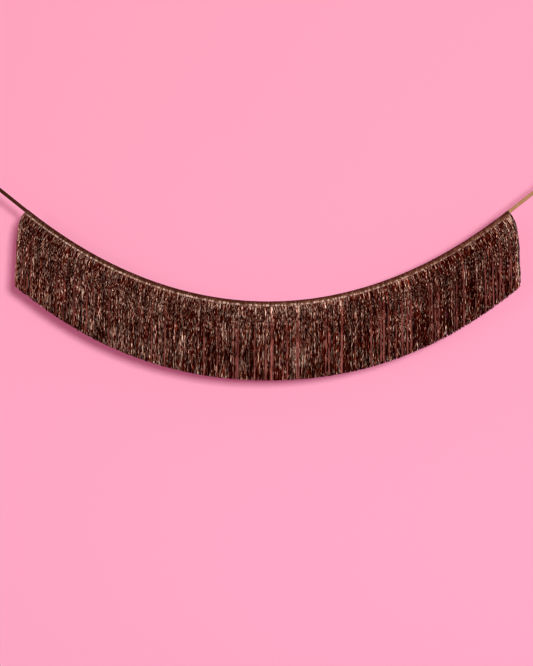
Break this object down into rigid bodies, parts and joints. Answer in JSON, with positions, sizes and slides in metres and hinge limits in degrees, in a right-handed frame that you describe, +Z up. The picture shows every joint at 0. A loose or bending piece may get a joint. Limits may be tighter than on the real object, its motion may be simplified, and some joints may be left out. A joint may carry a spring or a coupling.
{
  "type": "fringe banner",
  "caption": "Slit metallic foil fringe sewn into a folded header casing and hung in a swag from the knotted ends of the ribbon that runs through it.",
  "frame": {"origin": "where the left hanging loop bears on its nail or hook", "axes": "+X along the banner to the right as seen from the front, +Y away from the viewer, square to the fringe, +Z up"},
  "size_m": [2.0299, 0.0195, 0.7327],
  "materials": {
    "casing_foil": "dark brown foil tape with a soft sheen",
    "ribbon_satin": "brown satin ribbon",
    "fringe_foil": "metallised chocolate brown film, bright glints"
  },
  "bodies": {
    "header": {"header_casing": "casing_foil", "hanging_ribbon": "ribbon_satin", "front_heading": "fringe_foil", "back_heading": "fringe_foil", "left_tie": "ribbon_satin", "right_tie": "ribbon_satin", "left_knot": "ribbon_satin", "right_knot": "ribbon_satin", "left_loop": "ribbon_satin", "right_loop": "ribbon_satin"},
    "fringe_section_01": {"front_fringe_01": "fringe_foil", "back_fringe_01": "fringe_foil"},
    "fringe_section_02": {"front_fringe_02": "fringe_foil", "back_fringe_02": "fringe_foil"},
    "fringe_section_03": {"front_fringe_03": "fringe_foil", "back_fringe_03": "fringe_foil"},
    "fringe_section_04": {"front_fringe_04": "fringe_foil", "back_fringe_04": "fringe_foil"},
    "fringe_section_05": {"front_fringe_05": "fringe_foil", "back_fringe_05": "fringe_foil"},
    "fringe_section_06": {"front_fringe_06": "fringe_foil", "back_fringe_06": "fringe_foil"},
    "fringe_section_07": {"front_fringe_07": "fringe_foil", "back_fringe_07": "fringe_foil"},
    "fringe_section_08": {"front_fringe_08": "fringe_foil", "back_fringe_08": "fringe_foil"},
    "fringe_section_09": {"front_fringe_09": "fringe_foil", "back_fringe_09": "fringe_foil"},
    "fringe_section_10": {"front_fringe_10": "fringe_foil", "back_fringe_10": "fringe_foil"},
    "fringe_section_11": {"front_fringe_11": "fringe_foil", "back_fringe_11": "fringe_foil"},
    "fringe_section_12": {"front_fringe_12": "fringe_foil", "back_fringe_12": "fringe_foil"},
    "fringe_section_13": {"front_fringe_13": "fringe_foil", "back_fringe_13": "fringe_foil"},
    "fringe_section_14": {"front_fringe_14": "fringe_foil", "back_fringe_14": "fringe_foil"},
    "fringe_section_15": {"front_fringe_15": "fringe_foil", "back_fringe_15": "fringe_foil"},
    "fringe_section_16": {"front_fringe_16": "fringe_foil", "back_fringe_16": "fringe_foil"}
  },
  "joints": [
    {"name": "fringe_swing_01", "type": "hinge", "parent": "header", "child": "fringe_section_01", "pos_m": [0.20826, 0, -0.17939], "axis": [0.8015, 0, -0.598], "range_deg": [-30, 30]},
    {"name": "fringe_swing_02", "type": "hinge", "parent": "header", "child": "fringe_section_02", "pos_m": [0.30316, 0, -0.24542], "axis": [0.8397, 0, -0.543], "range_deg": [-30, 30]},
    {"name": "fringe_swing_03", "type": "hinge", "parent": "header", "child": "fringe_section_03", "pos_m": [0.40255, 0, -0.30469], "axis": [0.8773, 0, -0.48], "range_deg": [-30, 30]},
    {"name": "fringe_swing_04", "type": "hinge", "parent": "header", "child": "fringe_section_04", "pos_m": [0.50628, 0, -0.35623], "axis": [0.9127, 0, -0.4086], "range_deg": [-30, 30]},
    {"name": "fringe_swing_05", "type": "hinge", "parent": "header", "child": "fringe_section_05", "pos_m": [0.61402, 0, -0.39905], "axis": [0.9444, 0, -0.3288], "range_deg": [-30, 30]},
    {"name": "fringe_swing_06", "type": "hinge", "parent": "header", "child": "fringe_section_06", "pos_m": [0.72521, 0, -0.43219], "axis": [0.9704, 0, -0.2413], "range_deg": [-30, 30]},
    {"name": "fringe_swing_07", "type": "hinge", "parent": "header", "child": "fringe_section_07", "pos_m": [0.83908, 0, -0.45482], "axis": [0.9891, 0, -0.1476], "range_deg": [-30, 30]},
    {"name": "fringe_swing_08", "type": "hinge", "parent": "header", "child": "fringe_section_08", "pos_m": [0.95466, 0, -0.4663], "axis": [0.9988, 0, -0.0497], "range_deg": [-30, 30]},
    {"name": "fringe_swing_09", "type": "hinge", "parent": "header", "child": "fringe_section_09", "pos_m": [1.07082, 0, -0.4663], "axis": [0.9988, 0, 0.0497], "range_deg": [-30, 30]},
    {"name": "fringe_swing_10", "type": "hinge", "parent": "header", "child": "fringe_section_10", "pos_m": [1.1864, 0, -0.45482], "axis": [0.9891, 0, 0.1476], "range_deg": [-30, 30]},
    {"name": "fringe_swing_11", "type": "hinge", "parent": "header", "child": "fringe_section_11", "pos_m": [1.30028, 0, -0.43219], "axis": [0.9704, 0, 0.2413], "range_deg": [-30, 30]},
    {"name": "fringe_swing_12", "type": "hinge", "parent": "header", "child": "fringe_section_12", "pos_m": [1.41147, 0, -0.39905], "axis": [0.9444, 0, 0.3288], "range_deg": [-30, 30]},
    {"name": "fringe_swing_13", "type": "hinge", "parent": "header", "child": "fringe_section_13", "pos_m": [1.5192, 0, -0.35623], "axis": [0.9127, 0, 0.4086], "range_deg": [-30, 30]},
    {"name": "fringe_swing_14", "type": "hinge", "parent": "header", "child": "fringe_section_14", "pos_m": [1.62294, 0, -0.30469], "axis": [0.8773, 0, 0.48], "range_deg": [-30, 30]},
    {"name": "fringe_swing_15", "type": "hinge", "parent": "header", "child": "fringe_section_15", "pos_m": [1.72232, 0, -0.24542], "axis": [0.8397, 0, 0.543], "range_deg": [-30, 30]},
    {"name": "fringe_swing_16", "type": "hinge", "parent": "header", "child": "fringe_section_16", "pos_m": [1.81722, 0, -0.17939], "axis": [0.8015, 0, 0.598], "range_deg": [-30, 30]}
  ]
}
